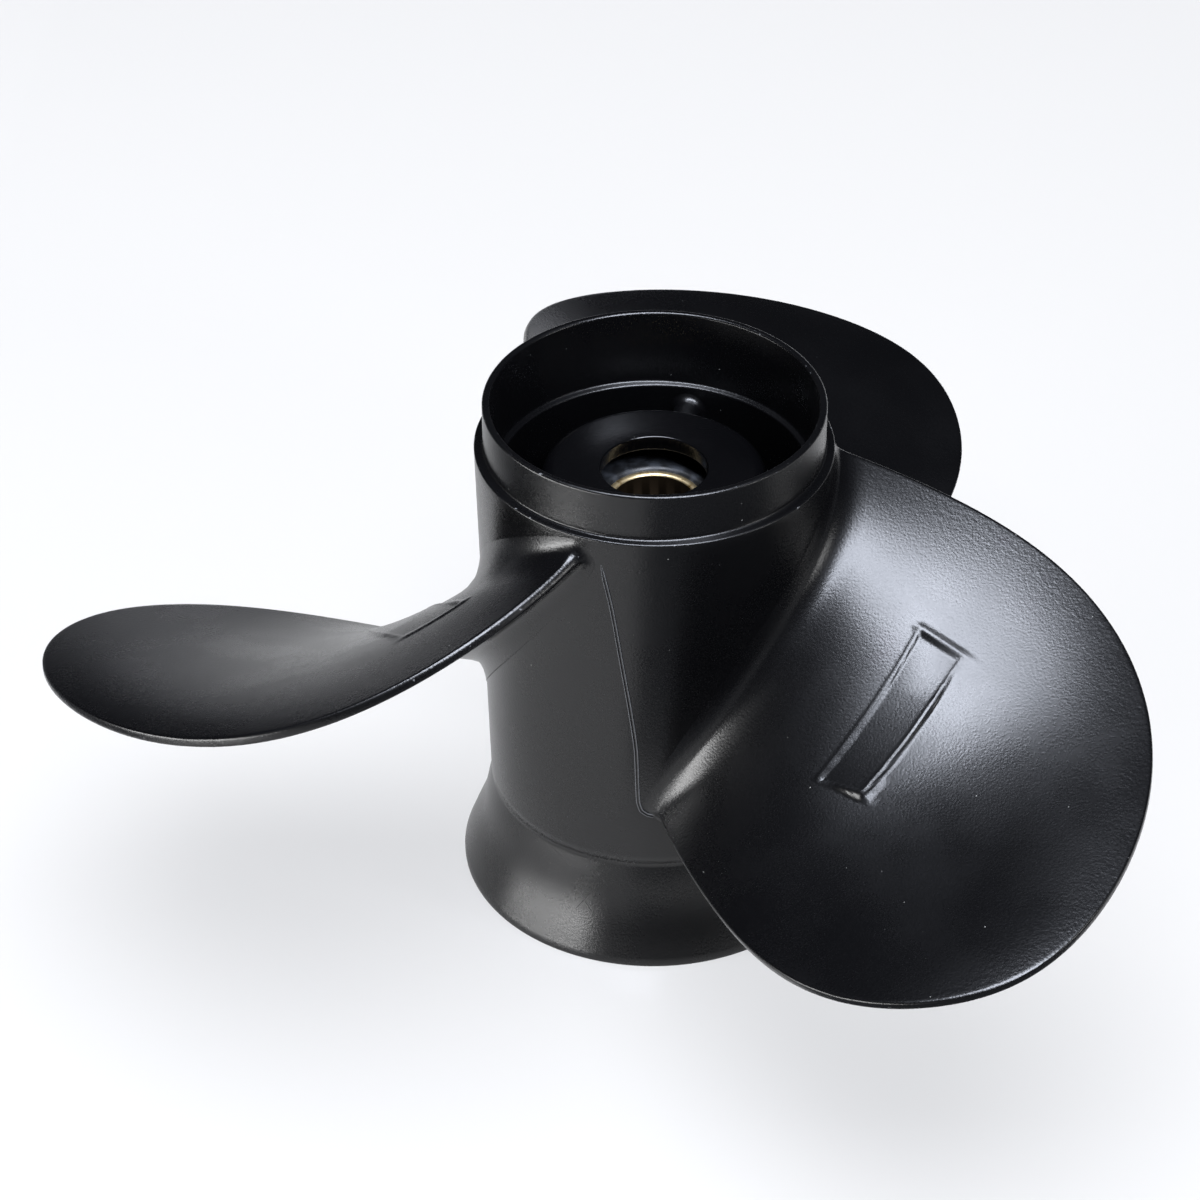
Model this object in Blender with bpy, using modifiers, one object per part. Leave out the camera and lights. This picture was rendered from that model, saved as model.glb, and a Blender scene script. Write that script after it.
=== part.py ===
"""Three-blade outboard propeller with through-hub exhaust, right-handed.

It stands on the flared aft rim of its barrel. Metres, +Z forward along the shaft,
origin on the shaft's axis in the plane of the aft rim.
"""
from math import asin, cos, pi, radians, sin, sqrt

import bmesh
import bpy
import numpy as np
from mathutils import Vector

# Barrel: the outer tube of the hub, which carries the blades
FRONT_RIM_Z = 0.1710
SPIGOT_R = 0.0513
SPIGOT_WALL = 0.0023
SHOULDER_Z = 0.1562
SHOULDER_R = 0.0540
SHOULDER_ROUND = 0.0008
CREASE_Z = 0.0343
CREASE_R = 0.0512
CREASE_STEP = 0.0003
AFT_RIM_R = 0.0605
AFT_LIP = 0.0024
AFT_LIP_ROUND = 0.0006
FLARE_STRAIGHT_SHARE = 0.53
FLARE_POWER = 2.0
FLARE_POINTS = 8
LEDGE_Z = 0.1467
LEDGE_OUTER_R = 0.0482
LEDGE_FALL = 0.0004
PASSAGE_FRONT_R = 0.0463
PASSAGE_AFT_R = 0.0475
FLARE_TOP_WALL = 0.0040

# Inner hub: the tube inside the barrel that holds the rubber bush
HUB_FRONT_Z = 0.1471
HUB_FACE_R = 0.0300
HUB_FRONT_R = 0.0340
HUB_AFT_R = 0.0320
HUB_AFT_Z = 0.0450
HUB_EDGE = 0.0012
LIP_BORE_R = 0.0162
LIP_THICKNESS = 0.0048
BUSH_BORE_R = 0.0270

# Vanes: the three webs between the inner hub and the barrel
VANE_AZIMUTH = 77.0
VANE_WIDTH = 0.0080
VANE_INNER_R = 0.0290
VANE_OUTER_R = 0.0495
VANE_FRONT_Z = 0.1422
VANE_AFT_Z = 0.0470
VANE_ROUND = 0.0030

# Rubber bush and brass sleeve
SEAT_GAP = 0.0003
SLEEVE_R = 0.0148
SLEEVE_FRONT_Z = 0.1357
SLEEVE_AFT_Z = 0.0510
BUSH_FRONT_Z = 0.1362
BUSH_AFT_Z = 0.0590
BUSH_CHAMFER = 0.0015
SPLINE_COUNT = 15
SPLINE_ROOT_R = 0.0121
SPLINE_TIP_R = 0.0108
SPLINE_TOOTH_SHARE = 0.46
COUNTERBORE_R = 0.0124
COUNTERBORE_DEPTH = 0.0100

# Blades: three, turned by 120 degrees about the shaft
BLADE_COUNT = 3
FIRST_BLADE_AZIMUTH = -39.9
ROOT_R = 0.0540
TIP_R = 0.1885
OUTLINE_POWER = 4.7
EDGE_HALF = 0.0014
ROOT_HALF = 0.0087
SUCTION_FILLET = 0.0090
PRESSURE_FILLET = 0.0055
END_FILLET = 0.0032
BURIED_R = 0.0505
FILLET_SINK = 0.0004
BODY_POWER = 2.1
WEB_POWER = 0.5

# The blade's five stations, evenly spaced from the root circle to the tip circle.
# Each gives the middle line's skew and the half width in degrees, the middle line's
# height, the pitch, how far both edges lift, and how far they sway apart, in metres.
STATIONS = (
    (0.0, 47.1, 0.1062, 0.384, -0.0037, -0.0026),
    (-2.1, 40.0, 0.0973, 0.376, 0.0020, -0.0012),
    (-4.2, 34.3, 0.0927, 0.358, 0.0031, -0.0005),
    (-7.8, 28.4, 0.0920, 0.329, -0.0010, -0.0002),
    (-14.4, 19.8, 0.0869, 0.307, -0.0030, 0.0),
)

# Facets
TURN_STEPS = 72
FILLET_STEPS = 4
SPAN_STEPS = 9
CHORD_STEPS = 12
EDGE_LINES = (0.0, 0.006, 0.022)
SIDE_TOP = 0.80


def clear_scene():
    for item in list(bpy.data.objects):
        bpy.data.objects.remove(item, do_unlink=True)


def new_collection(name):
    group = bpy.data.collections.new(name)
    bpy.context.scene.collection.children.link(group)
    return group


def surface(name, colour, metallic, roughness):
    material = bpy.data.materials.new(name)
    material.use_nodes = True
    shader = material.node_tree.nodes["Principled BSDF"]
    shader.inputs["Base Color"].default_value = (*colour, 1.0)
    shader.inputs["Metallic"].default_value = metallic
    shader.inputs["Roughness"].default_value = roughness
    return material


def place(name, mesh, group, material=None):
    item = bpy.data.objects.new(name, mesh)
    group.objects.link(item)
    if material:
        mesh.materials.append(material)
    return item


def as_form(item):
    """Mark an object as a construction form that another object joins or cuts."""
    item.hide_render = True
    item.display_type = "WIRE"
    return item


def turned(name, profile, group, material=None):
    """A ring turned about Z from a closed profile of (radius, height) points."""
    count = len(profile)
    mesh = bpy.data.meshes.new(name)
    points = [(r, 0.0, z) for r, z in profile]
    mesh.from_pydata(points, [(i, (i + 1) % count) for i in range(count)], [])
    item = place(name, mesh, group, material)
    screw = item.modifiers.new("turn", "SCREW")
    screw.axis = "Z"
    screw.angle = 2 * pi
    screw.steps = TURN_STEPS
    screw.render_steps = TURN_STEPS
    screw.use_merge_vertices = True
    screw.merge_threshold = 0.0001
    screw.use_smooth_shade = True
    return item


def joined(item, tool, operation="UNION"):
    step = item.modifiers.new(tool.name, "BOOLEAN")
    step.operation = operation
    step.solver = "EXACT"
    step.object = tool


def barrel_radius(z):
    """Outer radius of the barrel between its crease and its shoulder."""
    share = (z - CREASE_Z) / (SHOULDER_Z - CREASE_Z)
    return CREASE_R + (SHOULDER_R - CREASE_R) * share


def flare_radius(z, top_r, rim_r):
    """Radius of the flare: a straight cone with a curve of rising slope added to it."""
    share = 1.0 - z / (CREASE_Z - CREASE_STEP)
    curved = FLARE_STRAIGHT_SHARE * share + (1.0 - FLARE_STRAIGHT_SHARE) * share**FLARE_POWER
    return top_r + (rim_r - top_r) * curved


def barrel_profile():
    """The barrel's section: down the outside from the front rim, then up the inside."""
    spigot_in = SPIGOT_R - SPIGOT_WALL
    lip_in = AFT_RIM_R - AFT_LIP
    top_in = CREASE_R - FLARE_TOP_WALL
    rim_round = SPIGOT_WALL / 3
    outside = [
        (SPIGOT_R - rim_round, FRONT_RIM_Z),
        (SPIGOT_R, FRONT_RIM_Z - rim_round),
        (SPIGOT_R, SHOULDER_Z + SHOULDER_ROUND),
        (SPIGOT_R + SHOULDER_ROUND, SHOULDER_Z),
        (SHOULDER_R - SHOULDER_ROUND, SHOULDER_Z),
        (SHOULDER_R, SHOULDER_Z - SHOULDER_ROUND),
        (CREASE_R, CREASE_Z),
    ]
    heights = [(CREASE_Z - CREASE_STEP) * (1 - (i / FLARE_POINTS) ** 0.7) for i in range(FLARE_POINTS)]
    flare_out = [(flare_radius(z, CREASE_R - CREASE_STEP, AFT_RIM_R), z) for z in heights]
    lip = [
        (AFT_RIM_R, AFT_LIP_ROUND),
        (AFT_RIM_R - AFT_LIP_ROUND, 0.0),
        (lip_in + AFT_LIP_ROUND, 0.0),
        (lip_in, AFT_LIP_ROUND),
    ]
    flare_in = [(flare_radius(z, top_in, lip_in), z) for z in reversed(heights[1:])]
    inside = [
        (PASSAGE_AFT_R, CREASE_Z + AFT_LIP),
        (PASSAGE_FRONT_R, LEDGE_Z - LEDGE_FALL - SHOULDER_ROUND),
        (PASSAGE_FRONT_R + SHOULDER_ROUND, LEDGE_Z - LEDGE_FALL),
        (LEDGE_OUTER_R, LEDGE_Z),
        (spigot_in, FRONT_RIM_Z - rim_round),
        (spigot_in + rim_round, FRONT_RIM_Z),
    ]
    return outside + flare_out + lip + flare_in + inside


def hub_profile():
    """The inner hub's section, with the lip that stops the bush at the front."""
    lip_back = HUB_FRONT_Z - LIP_THICKNESS
    shoulder = HUB_FRONT_R - HUB_FACE_R
    rounding = [radians(a) for a in (90, 60, 30, 0)]
    nose = [(HUB_FACE_R + shoulder * cos(a), HUB_FRONT_Z - shoulder * (1 - sin(a))) for a in rounding]
    return nose + [
        (HUB_AFT_R, HUB_AFT_Z + HUB_EDGE),
        (HUB_AFT_R - HUB_EDGE, HUB_AFT_Z),
        (BUSH_BORE_R + HUB_EDGE, HUB_AFT_Z),
        (BUSH_BORE_R, HUB_AFT_Z + HUB_EDGE),
        (BUSH_BORE_R, lip_back),
        (LIP_BORE_R, lip_back),
        (LIP_BORE_R, HUB_FRONT_Z - HUB_EDGE),
        (LIP_BORE_R + HUB_EDGE, HUB_FRONT_Z - HUB_EDGE / 3),
    ]


def vane(index, group):
    """One web: a slab with rounded edges, whose ends lie inside the two tubes' walls."""
    length = VANE_OUTER_R - VANE_INNER_R
    height = VANE_FRONT_Z - VANE_AFT_Z
    form = bmesh.new()
    bmesh.ops.create_cube(form, size=1.0)
    bmesh.ops.scale(form, vec=(length, VANE_WIDTH, height), verts=form.verts)
    middle = Vector((VANE_INNER_R + length / 2, 0.0, VANE_AFT_Z + height / 2))
    bmesh.ops.translate(form, vec=middle, verts=form.verts)
    mesh = bpy.data.meshes.new(f"vane_{index}")
    form.to_mesh(mesh)
    form.free()
    item = as_form(place(f"vane_{index}", mesh, group))
    item.rotation_euler = (0.0, 0.0, radians(VANE_AZIMUTH + 120.0 * (index - 1)))
    edge = item.modifiers.new("rounded edges", "BEVEL")
    edge.width = VANE_ROUND
    edge.segments = 2
    return item


STATION_SPANS = np.linspace(0.0, 1.0, len(STATIONS))
STATION_CURVES = [
    np.polyfit(STATION_SPANS, [row[i] for row in STATIONS], len(STATIONS) - 1)
    for i in range(len(STATIONS[0]))
]


def outline_width(span):
    """Half width of the blade's outline at a span, in shares of its unrounded width."""
    return sqrt(max(1.0 - span**OUTLINE_POWER, 0.0))


def outline_span(across):
    return max(1.0 - across * across, 0.0) ** (1.0 / OUTLINE_POWER)


def fillet(above, size):
    """Thickness that a round fillet adds to one side, at a distance above the barrel."""
    share = 1.0 - min(max(above, 0.0) / size, 1.0)
    return size * (1.0 - sqrt(1.0 - share * share))


def blade_point(across, span, side):
    """Point of the blade's skin, as angle, radius and height.

    across runs from -1 at the trailing edge to +1 at the leading edge, and span from the
    root circle to the tip circle. side is +1 on the suction face, -1 on the pressure face
    and 0 on the middle surface.
    """
    skew, half, height, pitch, lift, sway = (np.polyval(curve, span) for curve in STATION_CURVES)
    half = radians(half)
    rise = pitch * half / (2 * pi)
    slope = rise + 2 * lift * across + 3 * sway * across**2
    z = height + rise * across + lift * across**2 + sway * across**3
    foot = barrel_radius(z)
    radius = ROOT_R + span * (TIP_R - ROOT_R) - (ROOT_R - foot) * (1 - span) ** 8
    above = radius - foot + FILLET_SINK
    run = half * radius
    length = sqrt(run * run + slope * slope)
    stretch = 1 + fillet(above, END_FILLET) / length
    to_side = (outline_width(span) - abs(across)) * stretch * length
    to_tip = (outline_span(across) - span) * (TIP_R - ROOT_R)
    to_edge = to_side * to_tip / max(sqrt(to_side * to_side + to_tip * to_tip), 1e-9)
    rounding = EDGE_HALF + fillet(above, END_FILLET)
    inward = 1 - min(max(to_edge, 0.0) / rounding, 1.0)
    body = (ROOT_HALF - EDGE_HALF) * (1 - span) ** BODY_POWER * (1 - across * across)
    web = fillet(above, SUCTION_FILLET if side > 0 else PRESSURE_FILLET)
    web *= max(1 - across * across, 0.0) ** WEB_POWER
    half_thickness = abs(side) * (rounding * sqrt(1 - inward * inward) + body + web)
    z += slope * across * (stretch - 1) + side * half_thickness * run / length
    angle = radians(skew) + half * across * stretch - side * half_thickness * slope / length / radius
    return angle, radius, z


def grid_share(a, b):
    """Across and span shares of a grid point, blended from the outline's sides and top."""
    reach = asin(outline_width(SIDE_TOP))
    corner = outline_width(SIDE_TOP)
    u = (a + 1) / 2
    side_span = SIDE_TOP * b
    side_width = outline_width(side_span)
    top_across = sin(a * reach)
    across = (1 - b) * a + b * top_across + (2 * u - 1) * side_width
    across -= (2 * u - 1) * (1 - b) + (2 * u - 1) * b * corner
    span = b * outline_span(top_across)
    return across, span


def grid_lines():
    """Chordwise and spanwise grid lines, closer together at the root and the edges."""
    first = 1 - EDGE_LINES[-1]
    ends = [1 - e for e in EDGE_LINES[:-1]]
    chordwise = [-e for e in ends] + list(np.linspace(-first, first, CHORD_STEPS + 1)) + ends[::-1]
    reach = SUCTION_FILLET / (TIP_R - ROOT_R) / SIDE_TOP
    turns = [i / FILLET_STEPS * pi / 2 for i in range(FILLET_STEPS)]
    spanwise = [reach * (1 - cos(t)) for t in turns]
    spanwise += list(np.linspace(reach, first, SPAN_STEPS + 1)) + ends[::-1]
    return chordwise, spanwise


def blade(index, group):
    """One blade: two skins that meet round the outline, closed off inside the barrel's wall."""
    chordwise, spanwise = grid_lines()
    azimuth = radians(FIRST_BLADE_AZIMUTH + 360.0 / BLADE_COUNT * (index - 1))
    form = bmesh.new()

    def vertex(a, b, side, buried=False):
        angle, radius, z = blade_point(*grid_share(a, b), side)
        radius = BURIED_R if buried else radius
        return form.verts.new((radius * cos(angle + azimuth), radius * sin(angle + azimuth), z))

    def column(a, side):
        return [vertex(a, 0.0, side, buried=True)] + [vertex(a, b, side) for b in spanwise]

    suction = [column(a, 1.0) for a in chordwise]
    pressure = [suction[0]] + [column(a, -1.0) for a in chordwise[1:-1]] + [suction[-1]]
    for near, far in zip(suction[1:-1], pressure[1:-1]):
        form.verts.remove(far[-1])
        far[-1] = near[-1]
    for skin in (suction, pressure):
        for left, right in zip(skin, skin[1:]):
            for i in range(len(left) - 1):
                form.faces.new((left[i], right[i], right[i + 1], left[i + 1]))
    middle = [suction[0][0]]
    middle += [vertex(a, 0.0, 0.0, buried=True) for a in chordwise[1:-1]]
    middle += [suction[-1][0]]
    for skin in (suction, pressure):
        for i in range(len(middle) - 1):
            corners = (skin[i][0], skin[i + 1][0], middle[i + 1], middle[i])
            form.faces.new(dict.fromkeys(corners))
    bmesh.ops.recalc_face_normals(form, faces=form.faces)
    mesh = bpy.data.meshes.new(f"blade_{index}")
    form.to_mesh(mesh)
    form.free()
    return as_form(place(f"blade_{index}", mesh, group))


def propeller_casting(parts, forms):
    """The aluminium casting: barrel, inner hub, vanes and blades in one piece."""
    paint = surface("black_paint", (0.012, 0.012, 0.014), 0.3, 0.35)
    casting = turned("propeller_casting", barrel_profile(), parts, paint)
    joined(casting, as_form(turned("inner_hub", hub_profile(), forms)))
    for index in range(1, 4):
        joined(casting, vane(index, forms))
    for index in range(1, BLADE_COUNT + 1):
        joined(casting, blade(index, forms))
    return casting


def rubber_bush(parts):
    """The rubber ring bonded to the sleeve and pressed into the inner hub's bore."""
    outer = BUSH_BORE_R - SEAT_GAP
    inner = SLEEVE_R + SEAT_GAP
    profile = [
        (outer - BUSH_CHAMFER, BUSH_FRONT_Z),
        (outer, BUSH_FRONT_Z - BUSH_CHAMFER),
        (outer, BUSH_AFT_Z + BUSH_CHAMFER),
        (outer - BUSH_CHAMFER, BUSH_AFT_Z),
        (inner, BUSH_AFT_Z),
        (inner, SLEEVE_FRONT_Z),
        (inner + BUSH_CHAMFER, BUSH_FRONT_Z),
    ]
    return turned("rubber_bush", profile, parts, surface("black_rubber", (0.02, 0.02, 0.022), 0.0, 0.8))


def spline_outline():
    """The splined bore's outline: straight-sided teeth pointing inwards."""
    points = []
    pitch = 2 * pi / SPLINE_COUNT
    for tooth in range(SPLINE_COUNT):
        for share, radius in ((0.0, SPLINE_ROOT_R), (1.0, SPLINE_ROOT_R), (1.0, SPLINE_TIP_R), (2.0, SPLINE_TIP_R)):
            gap = pitch * (1 - SPLINE_TOOTH_SHARE)
            angle = tooth * pitch + min(share, 1.0) * gap + max(share - 1.0, 0.0) * (pitch - gap)
            points.append((radius * cos(angle), radius * sin(angle)))
    return points


def spline_sleeve(parts, forms):
    """The brass sleeve that slides on the propeller shaft."""
    steps = TURN_STEPS
    circle = [(SLEEVE_R * cos(2 * pi * i / steps), SLEEVE_R * sin(2 * pi * i / steps)) for i in range(steps)]
    length = SLEEVE_FRONT_Z - SLEEVE_AFT_Z
    curve = bpy.data.curves.new("sleeve_outline", "CURVE")
    curve.dimensions = "2D"
    curve.fill_mode = "BOTH"
    curve.extrude = length / 2
    for loop in (circle, spline_outline()):
        spline = curve.splines.new("POLY")
        spline.points.add(len(loop) - 1)
        for point, (x, y) in zip(spline.points, loop):
            point.co = (x, y, 0.0, 1.0)
        spline.use_cyclic_u = True
    outline = bpy.data.objects.new("sleeve_outline", curve)
    forms.objects.link(outline)
    bpy.context.view_layer.update()
    evaluated = outline.evaluated_get(bpy.context.evaluated_depsgraph_get())
    mesh = bpy.data.meshes.new_from_object(evaluated)
    bpy.data.objects.remove(outline, do_unlink=True)
    form = bmesh.new()
    form.from_mesh(mesh)
    bmesh.ops.remove_doubles(form, verts=form.verts, dist=0.00001)
    bmesh.ops.recalc_face_normals(form, faces=form.faces)
    form.to_mesh(mesh)
    form.free()
    mesh.materials.clear()
    sleeve = place("spline_sleeve", mesh, parts, surface("brass", (0.55, 0.36, 0.13), 0.9, 0.35))
    sleeve.location = (0.0, 0.0, SLEEVE_AFT_Z + length / 2)
    cutter = bmesh.new()
    bmesh.ops.create_cone(
        cutter,
        cap_ends=True,
        segments=steps,
        radius1=COUNTERBORE_R,
        radius2=COUNTERBORE_R,
        depth=2 * COUNTERBORE_DEPTH,
    )
    cutter_mesh = bpy.data.meshes.new("counterbore")
    cutter.to_mesh(cutter_mesh)
    cutter.free()
    counterbore = as_form(place("counterbore", cutter_mesh, forms))
    counterbore.location = (0.0, 0.0, SLEEVE_FRONT_Z)
    joined(sleeve, counterbore, "DIFFERENCE")
    return sleeve


clear_scene()
part_group = new_collection("outboard_propeller")
form_group = new_collection("forms_and_cutters")
propeller_casting(part_group, form_group)
rubber_bush(part_group)
spline_sleeve(part_group, form_group)
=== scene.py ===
"""A three-blade outboard propeller, standing on the flared aft end of its barrel.

A painted aluminium casting, a rubber bush pressed into it and a splined brass sleeve in the bush.
Metres, +Z forward along the shaft, the origin on the shaft's axis in the plane of the aft rim.
"""
from math import ceil, cos, pi, radians, sin, sqrt, tan

import bmesh
import bpy
import numpy as np
from mathutils import Matrix, Vector
from mathutils.kdtree import KDTree


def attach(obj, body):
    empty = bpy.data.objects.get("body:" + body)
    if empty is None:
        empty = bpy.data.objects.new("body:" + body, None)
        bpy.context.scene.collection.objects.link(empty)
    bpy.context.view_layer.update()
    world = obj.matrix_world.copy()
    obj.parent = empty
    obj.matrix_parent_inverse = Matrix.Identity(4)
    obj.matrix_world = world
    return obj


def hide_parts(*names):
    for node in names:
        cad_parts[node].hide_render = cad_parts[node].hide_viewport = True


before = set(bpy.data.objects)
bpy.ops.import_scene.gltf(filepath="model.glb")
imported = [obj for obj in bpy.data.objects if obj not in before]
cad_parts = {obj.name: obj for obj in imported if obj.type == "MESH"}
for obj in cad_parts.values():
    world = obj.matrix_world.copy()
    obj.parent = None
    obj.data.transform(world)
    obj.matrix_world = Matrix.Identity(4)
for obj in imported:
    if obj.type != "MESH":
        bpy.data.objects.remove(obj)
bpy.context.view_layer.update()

# Camera
# It stands 1.08 m from the barrel and looks down on it at 36 degrees, with the first blade to
# the right and the third to the left. A long lens keeps the barrel's two sides nearly parallel.
CAMERA_DISTANCE = 1.081
CAMERA_TILT = 36.30
CAMERA_TURN = 0.869
CAMERA_ROLL = 0.425
CAMERA_LENS = 104.97
AIM_HEIGHT = 0.0972

tilt = radians(CAMERA_TILT)
stand = Vector((0.0, -CAMERA_DISTANCE * cos(tilt), AIM_HEIGHT + CAMERA_DISTANCE * sin(tilt)))
camera = bpy.data.objects.new("camera", bpy.data.cameras.new("camera"))
bpy.context.scene.collection.objects.link(camera)
camera.data.lens = CAMERA_LENS
camera.matrix_world = (
    Matrix.Translation(stand)
    @ Matrix.Rotation(pi / 2 - tilt, 4, "X")
    @ Matrix.Rotation(radians(CAMERA_TURN), 4, "Y")
    @ Matrix.Rotation(radians(CAMERA_ROLL), 4, "Z")
)
bpy.context.scene.camera = camera

# Barrel
# The outer tube of the one-piece aluminium casting. Its front end is turned down to a spigot that
# enters the gearcase, and its aft end flares out to a rolled rim, which the propeller stands on.
FRONT_RIM_Z = 0.1710
SPIGOT_R = 0.0513
SPIGOT_WALL = 0.0023
SPIGOT_FOOT_WALL = 0.0031
RIM_ROUND = 0.0008
SHOULDER_Z = 0.1562
SHOULDER_R = 0.0540
SHOULDER_ROUND = 0.0005
SPIGOT_FOOT_ROUND = 0.0007
LEDGE_Z = 0.1467
LEDGE_FALL = 0.0004
LEDGE_ROUND = 0.0007
PASSAGE_FRONT_R = 0.0463
PASSAGE_AFT_R = 0.0475
CREASE_Z = 0.0343
CREASE_R = 0.0512
CREASE_STEP = 0.0003
FLARE_STRAIGHT_SHARE = 0.53
FLARE_POWER = 2.0
FLARE_WAVE = 0.00016
FLARE_WAVE_COUNT = 1.5
FLARE_OUT_ROWS = 24
FLARE_IN_ROWS = 10
FLARE_TOP_WALL = 0.0040
AFT_RIM_R = 0.0605
AFT_RIM_BAND = 0.0016
AFT_RIM_WALL = 0.0024
AFT_RIM_ROUND = 0.0005
BARREL_STEPS = 252
BARREL_ROW = 0.0030
PASSAGE_ROW = 0.0120
STRAIGHT_TURN = 176.0


def barrel_radius(z):
    """Outer radius of the barrel's plain cone, between its crease and its shoulder."""
    return CREASE_R + (SHOULDER_R - CREASE_R) * (z - CREASE_Z) / (SHOULDER_Z - CREASE_Z)


def flare_curve(top, rim, rows, wave):
    """Points down the flare, which bends outwards faster towards the rim, with a slight wave in it."""
    (top_r, top_z), (rim_r, rim_z) = top, rim
    points = []
    for share in np.linspace(0.0, 1.0, rows):
        bend = FLARE_STRAIGHT_SHARE * share + (1.0 - FLARE_STRAIGHT_SHARE) * share**FLARE_POWER
        ripple = wave * sin(2.0 * pi * FLARE_WAVE_COUNT * share)
        points.append((top_r + (rim_r - top_r) * bend + ripple, top_z + (rim_z - top_z) * share, 0.0))
    return points


def rounded(corners, bends=4):
    """A closed section whose corners (radius from the axis, height, rounding) become arcs."""
    section = []
    for i, (r, z, rounding) in enumerate(corners):
        here = Vector((r, z))
        back = Vector(corners[i - 1][:2]) - here
        ahead = Vector(corners[(i + 1) % len(corners)][:2]) - here
        turn = back.angle(ahead)
        if rounding == 0.0 or turn > radians(STRAIGHT_TURN):
            section.append((r, z))
            continue
        reach = rounding / tan(turn / 2.0)
        start = here + back.normalized() * reach
        end = here + ahead.normalized() * reach
        inwards = (back.normalized() + ahead.normalized()).normalized()
        centre = here + inwards * rounding / sin(turn / 2.0)
        for bend in range(bends + 1):
            spoke = (start - centre).lerp(end - centre, bend / bends).normalized() * rounding
            section.append(tuple(centre + spoke))
    return section


def rows_between(near, far, length):
    """Extra section points that split a long straight into rows of at most this length."""
    gap = sqrt((far[0] - near[0]) ** 2 + (far[1] - near[1]) ** 2)
    count = ceil(gap / length)
    rows = []
    for i in range(1, count):
        share = i / count
        rows.append((near[0] + (far[0] - near[0]) * share, near[1] + (far[1] - near[1]) * share, 0.0))
    return rows


def solid(name, points, faces):
    """A smooth-shaded closed mesh object."""
    mesh = bpy.data.meshes.new(name)
    mesh.from_pydata([tuple(p) for p in points], [], faces)
    form = bmesh.new()
    form.from_mesh(mesh)
    bmesh.ops.recalc_face_normals(form, faces=form.faces)
    form.to_mesh(mesh)
    form.free()
    mesh.shade_smooth()
    item = bpy.data.objects.new(name, mesh)
    bpy.context.scene.collection.objects.link(item)
    return item


def turned(name, section, steps):
    """A ring turned about the shaft's axis from a closed section of (radius, height) points."""
    rows = len(section)
    angles = [2.0 * pi * i / steps for i in range(steps)]
    points = [(r * cos(a), r * sin(a), z) for a in angles for r, z in section]
    faces = []
    for i in range(steps):
        here, there = i * rows, (i + 1) % steps * rows
        for j in range(rows):
            k = (j + 1) % rows
            faces.append((here + j, there + j, there + k, here + k))
    return solid(name, points, faces)


spigot_in = SPIGOT_R - SPIGOT_WALL
ledge_out = SPIGOT_R - SPIGOT_FOOT_WALL
crease_top = (CREASE_R, CREASE_Z, 0.0)
shoulder = (SHOULDER_R, SHOULDER_Z, SHOULDER_ROUND)
passage_aft = (PASSAGE_AFT_R, CREASE_Z + FLARE_TOP_WALL / 2, 0.0)
passage_front = (PASSAGE_FRONT_R, LEDGE_Z - LEDGE_FALL, LEDGE_ROUND)
aft_rim_in = AFT_RIM_R - AFT_RIM_WALL
flare_out_top = (CREASE_R - CREASE_STEP, CREASE_Z - CREASE_STEP)
flare_out = flare_curve(flare_out_top, (AFT_RIM_R, AFT_RIM_BAND), FLARE_OUT_ROWS, FLARE_WAVE)
flare_in_top = (CREASE_R - FLARE_TOP_WALL, CREASE_Z - FLARE_TOP_WALL)
flare_in = flare_curve(flare_in_top, (aft_rim_in, AFT_RIM_BAND), FLARE_IN_ROWS, 0.0)
barrel_section = rounded(
    [(SPIGOT_R, FRONT_RIM_Z, RIM_ROUND), (SPIGOT_R, SHOULDER_Z, SPIGOT_FOOT_ROUND), shoulder]
    + rows_between(shoulder, crease_top, BARREL_ROW)
    + [crease_top]
    + flare_out
    + [(AFT_RIM_R, 0.0, AFT_RIM_ROUND), (aft_rim_in, 0.0, AFT_RIM_ROUND)]
    + flare_in[::-1]
    + [passage_aft]
    + rows_between(passage_aft, passage_front, PASSAGE_ROW)
    + [passage_front, (ledge_out, LEDGE_Z, LEDGE_ROUND), (spigot_in, FRONT_RIM_Z, RIM_ROUND)]
)
barrel = turned("barrel", barrel_section, BARREL_STEPS)

# Inner hub
# The tube in the middle of the same casting, bored from aft for the rubber bush. At the front it
# closes in to a lip, whose flat face is machined and then painted with the rest.
HUB_FRONT_Z = 0.1471
HUB_FACE_R = 0.0300
HUB_FRONT_R = 0.0340
HUB_AFT_R = 0.0320
HUB_AFT_Z = 0.0450
HUB_EDGE = 0.0010
LIP_BORE_R = 0.0162
LIP_THICKNESS = 0.0048
LIP_EDGE = 0.0005
BUSH_BORE_R = 0.0270
HUB_STEPS = 180
HUB_BENDS = 6

hub_nose = (HUB_FRONT_R, HUB_FRONT_Z, HUB_FRONT_R - HUB_FACE_R)
hub_heel = (HUB_AFT_R, HUB_AFT_Z, HUB_EDGE)
lip_back = HUB_FRONT_Z - LIP_THICKNESS
hub_section = rounded(
    [hub_nose]
    + rows_between(hub_nose, hub_heel, PASSAGE_ROW)
    + [
        hub_heel,
        (BUSH_BORE_R, HUB_AFT_Z, HUB_EDGE),
        (BUSH_BORE_R, lip_back, 0.0),
        (LIP_BORE_R, lip_back, LIP_EDGE),
        (LIP_BORE_R, HUB_FRONT_Z, LIP_EDGE),
    ],
    bends=HUB_BENDS,
)
inner_hub = turned("inner_hub", hub_section, HUB_STEPS)

# Vanes
# Three webs of the casting that carry the inner hub inside the barrel. The exhaust leaves between
# them. Their ends are rounded for the flow, and they run into both tubes with small fillets.
VANE_COUNT = 3
VANE_AZIMUTH = 77.0
VANE_WIDTH = 0.0080
VANE_FRONT_Z = 0.1422
VANE_AFT_Z = 0.0470
VANE_FILLET = 0.0025
VANE_SINK = 0.00003
VANE_BURIAL = 0.1
VANE_END_POINTS = 12
VANE_ROWS = 10


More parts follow.
